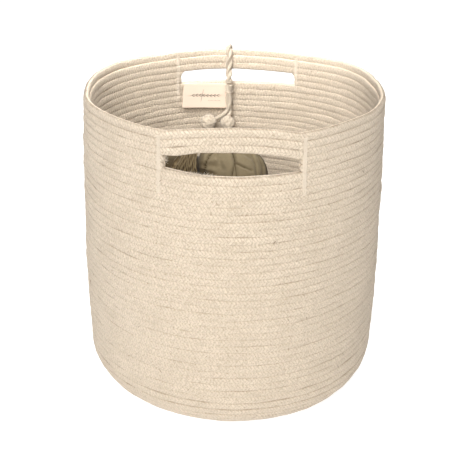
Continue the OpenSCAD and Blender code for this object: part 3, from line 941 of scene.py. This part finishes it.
# where the painted shadow along the puff's right-hand edge begins, seen the same way, in metres
SHADOW_LINE_Z = (0.300, 0.3135, 0.3206, 0.3306, 0.338, 0.344)
SHADOW_LINE_X = (0.0468, 0.0462, 0.0452, 0.0412, 0.0360, 0.0315)


def fade(value, start, end):
    """0 up to start, 1 from end on."""
    return np.clip((value - start) / (end - start), 0, 1)


def crease_depth(p, narrow=1.0):
    """How deep each point of the puff lies in a crease."""
    x, y, z = p.T
    view = np.stack([x, z + SLOPE * (y + 0.040)], 1)
    depth = np.zeros(len(p))
    for start, end, width, deep in CREASES:
        a, b = np.array(start) * 0.001, np.array(end) * 0.001
        t = np.clip(((view - a) @ (b - a)) / ((b - a) @ (b - a)), 0, 1)
        away = np.linalg.norm(view - (a + t[:, None] * (b - a)), axis=1)
        depth = np.maximum(depth, deep * 0.001 * np.exp(-((away / (width * narrow * 0.001)) ** 2)))
    return depth * (y < 0.012) * (z > 0.262)


def ring_shell(rings):
    """A closed surface through rings of points, drawn to a point at both ends."""
    rings = np.asarray(rings)
    m, k = rings.shape[:2]
    points = np.concatenate([rings.reshape(-1, 3), rings[:1].mean(1), rings[-1:].mean(1)])
    faces = ring_quads(m, k)[:, TURNED].tolist()
    for j in range(k):
        faces.append([(j + 1) % k, j, m * k])
        faces.append([(m - 1) * k + j, (m - 1) * k + (j + 1) % k, m * k + 1])
    return points, faces


def shell_object(name, shells):
    """One object from closed shells, each given by its rings."""
    points, faces, count = [], [], 0
    for rings in shells:
        p, f = ring_shell(rings)
        points.append(p)
        faces += [[v + count for v in face] for face in f]
        count += len(p)
    mesh = bpy.data.meshes.new(name)
    mesh.from_pydata(np.concatenate(points).tolist(), [], faces)
    mesh.validate()
    return link_object(name, mesh)


def bag_shell():
    """The filled bag: a slumped body, a puff of cloth on top and the drawn neck."""
    a = around(140)
    profile = smooth_route([(z, r, 0) for z, r in BAG_PROFILE], 90)
    pleat = 0.6 * np.sin(11 * a + 0.7) + 0.4 * np.sin(19 * a + 2.1)
    slump = 0.012 * np.sin(3 * a + 1.0) + 0.010 * np.sin(5 * a + 2.6)
    body = []
    for z, r, _ in profile:
        near = fade(z, 0.16, 0.26)
        rr = r * (1 + 0.05 * near * pleat + (1 - near) * slump)
        body.append(outward(a) * rr[:, None] + UP * z)
    puff = []
    for e in np.linspace(-math.pi / 2 + 0.05, math.pi / 2 - 0.05, 40):
        rr = math.cos(e) * (1 + 0.02 * np.sin(4 * a + 1) + 0.015 * np.sin(7 * a + 3 * e))
        puff.append(PUFF + PUFF_SIZE * (outward(a) * rr[:, None] + UP * math.sin(e)))
    lobes = []  # what fills the bag pushes its shoulder out in a few places
    for place, size in (((-0.075, 0.044, 0.232), (0.066, 0.068, 0.073)),
                        ((0.062, 0.052, 0.190), (0.072, 0.070, 0.060)),
                        ((0.036, -0.070, 0.178), (0.074, 0.066, 0.058)),
                        ((-0.074, -0.048, 0.172), (0.064, 0.066, 0.060))):
        lobes.append([(rings - PUFF) / PUFF_SIZE * size + place for rings in puff])
    neck = []
    for t in np.linspace(0, 1, 24):
        x = -0.022 + (TIE_X + 0.022) * t
        r = (0.0092 + 0.0180 * (1 - t) ** 0.5) * (1 + 0.10 * np.sin(13 * a + 1) + 0.05 * np.sin(23 * a))
        neck.append(np.stack([x + 0 * a, NECK[1] - np.cos(a) * r, NECK[2] + np.sin(a) * r], 1))
    return shell_object("bag_cloth", (body, puff, neck, *lobes))


def get_points(obj):
    flat = np.empty(len(obj.data.vertices) * 3)
    obj.data.vertices.foreach_get("co", flat)
    return flat.reshape(-1, 3)


def set_points(obj, points):
    obj.data.vertices.foreach_set("co", points.ravel())
    obj.data.update()


def dress(obj, material, creases):
    """Gives a cloth piece its material, smooth shading and a point attribute of painted shade for its
    creases and other shaded places.
    """
    layer = obj.data.attributes.new("painted_shade", "FLOAT", "POINT")
    layer.data.foreach_set("value", np.asarray(creases, np.float32))
    obj.data.materials.clear()
    obj.data.materials.append(material)
    obj.data.polygons.foreach_set("use_smooth", np.ones(len(obj.data.polygons), bool))


def weigh(obj, name, weights):
    """A vertex group with a weight for each point."""
    group = obj.vertex_groups.new(name=name)
    for index in np.nonzero(weights)[0]:
        group.add([int(index)], float(weights[index]), "REPLACE")


def apply_modifiers(obj):
    """Replaces the object's mesh by what its modifiers make of it."""
    graph = bpy.context.evaluated_depsgraph_get()
    mesh = bpy.data.meshes.new_from_object(obj.evaluated_get(graph))
    obj.modifiers.clear()
    obj.data = mesh


def inflate(obj, creased, frames=18, furthest=0.007):
    """Cloth simulation: the bag is pressed out from inside, and sags under its own weight, with
    its neck, shoulder, foot and creases held. No point moves further than furthest."""
    scene = bpy.context.scene
    before = get_points(obj)
    gather = np.linalg.norm(before - NECK, axis=1)
    shoulder = 0.7 * fade(before[:, 2], 0.250, 0.270)
    grip = (np.clip(1.6 - gather / 0.014, 0, 1), creased, shoulder, before[:, 2] < BAG_LOW + 0.006)
    weigh(obj, "held", np.max(grip, axis=0))
    cloth = obj.modifiers.new("cloth", "CLOTH")
    for key, value in (("vertex_group_mass", "held"), ("quality", 6), ("mass", 0.25),
                       ("tension_stiffness", 12), ("compression_stiffness", 12),
                       ("bending_stiffness", 0.3), ("use_pressure", True),
                       ("uniform_pressure_force", 3.0), ("shrink_min", -0.05)):
        setattr(cloth.settings, key, value)
    cloth.settings.effector_weights.gravity = 0.6
    cloth.collision_settings.use_self_collision = False
    cloth.point_cache.frame_start, cloth.point_cache.frame_end = 1, frames
    for frame_number in range(1, frames + 1):
        scene.frame_set(frame_number)
    apply_modifiers(obj)
    scene.frame_set(1)
    move = get_points(obj) - before
    size = np.linalg.norm(move, axis=1, keepdims=True)
    set_points(obj, before + move * np.minimum(1, furthest / np.maximum(size, 1e-9)))


def soften(bag):
    """Rounds the hollows between the bag's lobes, away from its puff and neck."""
    p = get_points(bag)
    free = fade(np.linalg.norm((p - PUFF) / PUFF_SIZE, axis=1), 1.12, 2.02)
    free = free * fade(np.linalg.norm(p - NECK, axis=1), 0.024, 0.044) * (p[:, 2] > 0.03)
    weigh(bag, "free", free)
    smooth = bag.modifiers.new("soften", "SMOOTH")
    smooth.factor, smooth.iterations, smooth.vertex_group = 0.5, 60, "free"
    apply_modifiers(bag)
    bag.vertex_groups.clear()


def make_bag(look):
    bag = bag_shell()
    remesh = bag.modifiers.new("voxels", "REMESH")
    remesh.mode, remesh.voxel_size, remesh.use_smooth_shade = "VOXEL", 0.0030, True
    apply_modifiers(bag)
    soften(bag)
    p = get_points(bag)
    depth = crease_depth(p)
    set_points(bag, p - unit(p - PUFF) * depth[:, None])
    inflate(bag, np.clip(depth / 0.0030, 0, 1))
    subdivide = bag.modifiers.new("finer", "SUBSURF")
    subdivide.levels = subdivide.render_levels = 1
    apply_modifiers(bag)
    p = get_points(bag)
    fine = crease_depth(p, 0.6)
    set_points(bag, p - unit(p - PUFF) * fine[:, None] * 0.35)
    x, y, z = p.T
    # painted shade, kept in the cloth's point attribute: the creases, the fold left of the ruffle, the
    # neck, and a painted shadow along the puff's right-hand edge
    fold = 0.95 * fade(-x, 0.050, 0.072) * fade(z, 0.215, 0.265) * fade(-y, -0.070, -0.035)
    neck = 0.45 * fade(-x, 0.0385, 0.0405) * fade(z, 0.285, 0.291)
    # painted shadow: the cloth past the puff's right-hand edge is darkened where it meets the shade
    # behind it
    past = x - np.interp(z + SLOPE * (y + 0.040), SHADOW_LINE_Z, SHADOW_LINE_X)
    edge = 0.85 * fade(past, -0.00108, 0.00072) * fade(-y, -0.008, 0.002) * fade(z, 0.283, 0.289)
    edge = edge * (np.linalg.norm((p - PUFF) / PUFF_SIZE, axis=1) < 1.3)
    dress(bag, look, np.max([np.clip(fine / 0.0055, 0, 1) ** 1.3, fold, neck, edge], axis=0))
    declare(bag, "laundry_bag", "bag_cloth", "bag_body", "bag_neck")


def make_ruffle(look):
    """The gathered cloth beyond the tie, in folds that fan out downwards, with painted shade between the
    folds and inside the mouth of the gather.
    """
    folds, steps = 17, 10
    a = around(220)
    rings, creases = [], []
    for t in np.linspace(0, 1, folds * steps + 1):
        tilt = math.radians(33) * t**1.2
        fold = abs(math.sin(math.pi * folds * t)) ** 0.6
        which = math.floor(folds * t - 1e-6)
        r = (0.0165 + 0.0080 * fold) * (0.82 + 0.18 * min(1, 6 * t))
        r = r * (1 + 0.020 * np.sin(4 * a + 2.3 * which) + 0.03 * np.sin(9 * a + 1.1 * which)
                 + 0.015 * np.sin(17 * a + which))
        lean = 0.0004 * np.sin(5 * a + 1.9 * which) + 0.0003 * np.sin(11 * a + which)
        centre = NECK + np.array([-0.0026 - 0.0325 * t, 0, -0.003 * t])
        up = np.array([math.sin(tilt), 0, math.cos(tilt)])
        side = np.array([-math.cos(tilt), 0, math.sin(tilt)])
        rings.append(centre + (np.cos(a) * r)[:, None] * np.array([0, -1.0, 0])
                     + (np.sin(a) * r)[:, None] * up + lean[:, None] * side)
        # painted shade: the cloth is darker in the hollows between the folds
        creases += [1 - fold] * len(a)
    for u in np.linspace(0.15, 1, 7):  # the mouth of the gather turns in on itself, with painted shade growing darker inside it
        size = (1 - 0.8 * u) * (1 + 0.25 * u * np.sin(9 * a))
        rings.append(centre - 0.013 * math.sin(u * math.pi / 2) * side
                     + (rings[folds * steps] - centre) * size[:, None])
        creases += [0.3 + 0.6 * u] * len(a)
    ruffle = shell_object("bag_ruffle_cloth", [rings])
    dress(ruffle, look, creases + [1, 1])
    declare(ruffle, "laundry_bag", "bag_cloth", "bag_ruffle")


def make_bag_tie(thread):
    """Cord wound three times round the bag's neck."""
    tubes = Tubes()
    a = np.linspace(0, 3 * 2 * math.pi, 200)
    r = 0.0101 + 0.0003 * np.sin(3.3 * a)
    path = NECK + np.stack([0.0036 * a / a[-1] - 0.0012, np.cos(a) * r, np.sin(a) * r], 1)
    tubes.strand(path, (1, 0, 0), 0.00085, 10)
    declare(tubes.build("bag_neck_tie", thread), "laundry_bag", "thread", "bag_tie")


# ---- Floor ----


def make_floor():
    size, z = 12.0, -0.0004
    points = [(-size, -size, z), (size, -size, z), (size, size, z), (-size, size, z)]
    floor = mesh_object("floor", np.array(points), np.array([[0, 1, 2, 3]]), floor_material())


# ---- The scene ----

make_camera()
make_light()
make_cord(thread_material("cotton_cord", (0.52, 0.445, 0.35), (0.38, 0.315, 0.24)))
rope_look = braid_material("braided_cotton", (0.74, 0.63, 0.505), (0.46, 0.375, 0.275))
thread_look = thread_material("cotton_thread", (0.70, 0.61, 0.50), (0.56, 0.48, 0.38))
make_wall(rope_look)
make_base(rope_look)
make_rope_end(rope_look)
make_frays(thread_look)
make_seed_fibres(thread_material("plant_fibre", (0.20, 0.13, 0.07), (0.12, 0.08, 0.045)))
make_strips(thread_look)
make_tag(card_material("tag_card", (0.72, 0.58, 0.465), (0.66, 0.53, 0.42)),
         card_material("printed_ink", (0.16, 0.14, 0.11), (0.10, 0.09, 0.07)), thread_look)
make_bag(cloth_material("unbleached_cotton", (0.25, 0.202, 0.122), (0.17, 0.132, 0.076)))
make_ruffle(cloth_material("gathered_cotton", (0.48, 0.37, 0.21), (0.32, 0.235, 0.12)))
make_bag_tie(thread_material("brown_cord", (0.075, 0.055, 0.03), (0.05, 0.036, 0.02)))
make_floor()
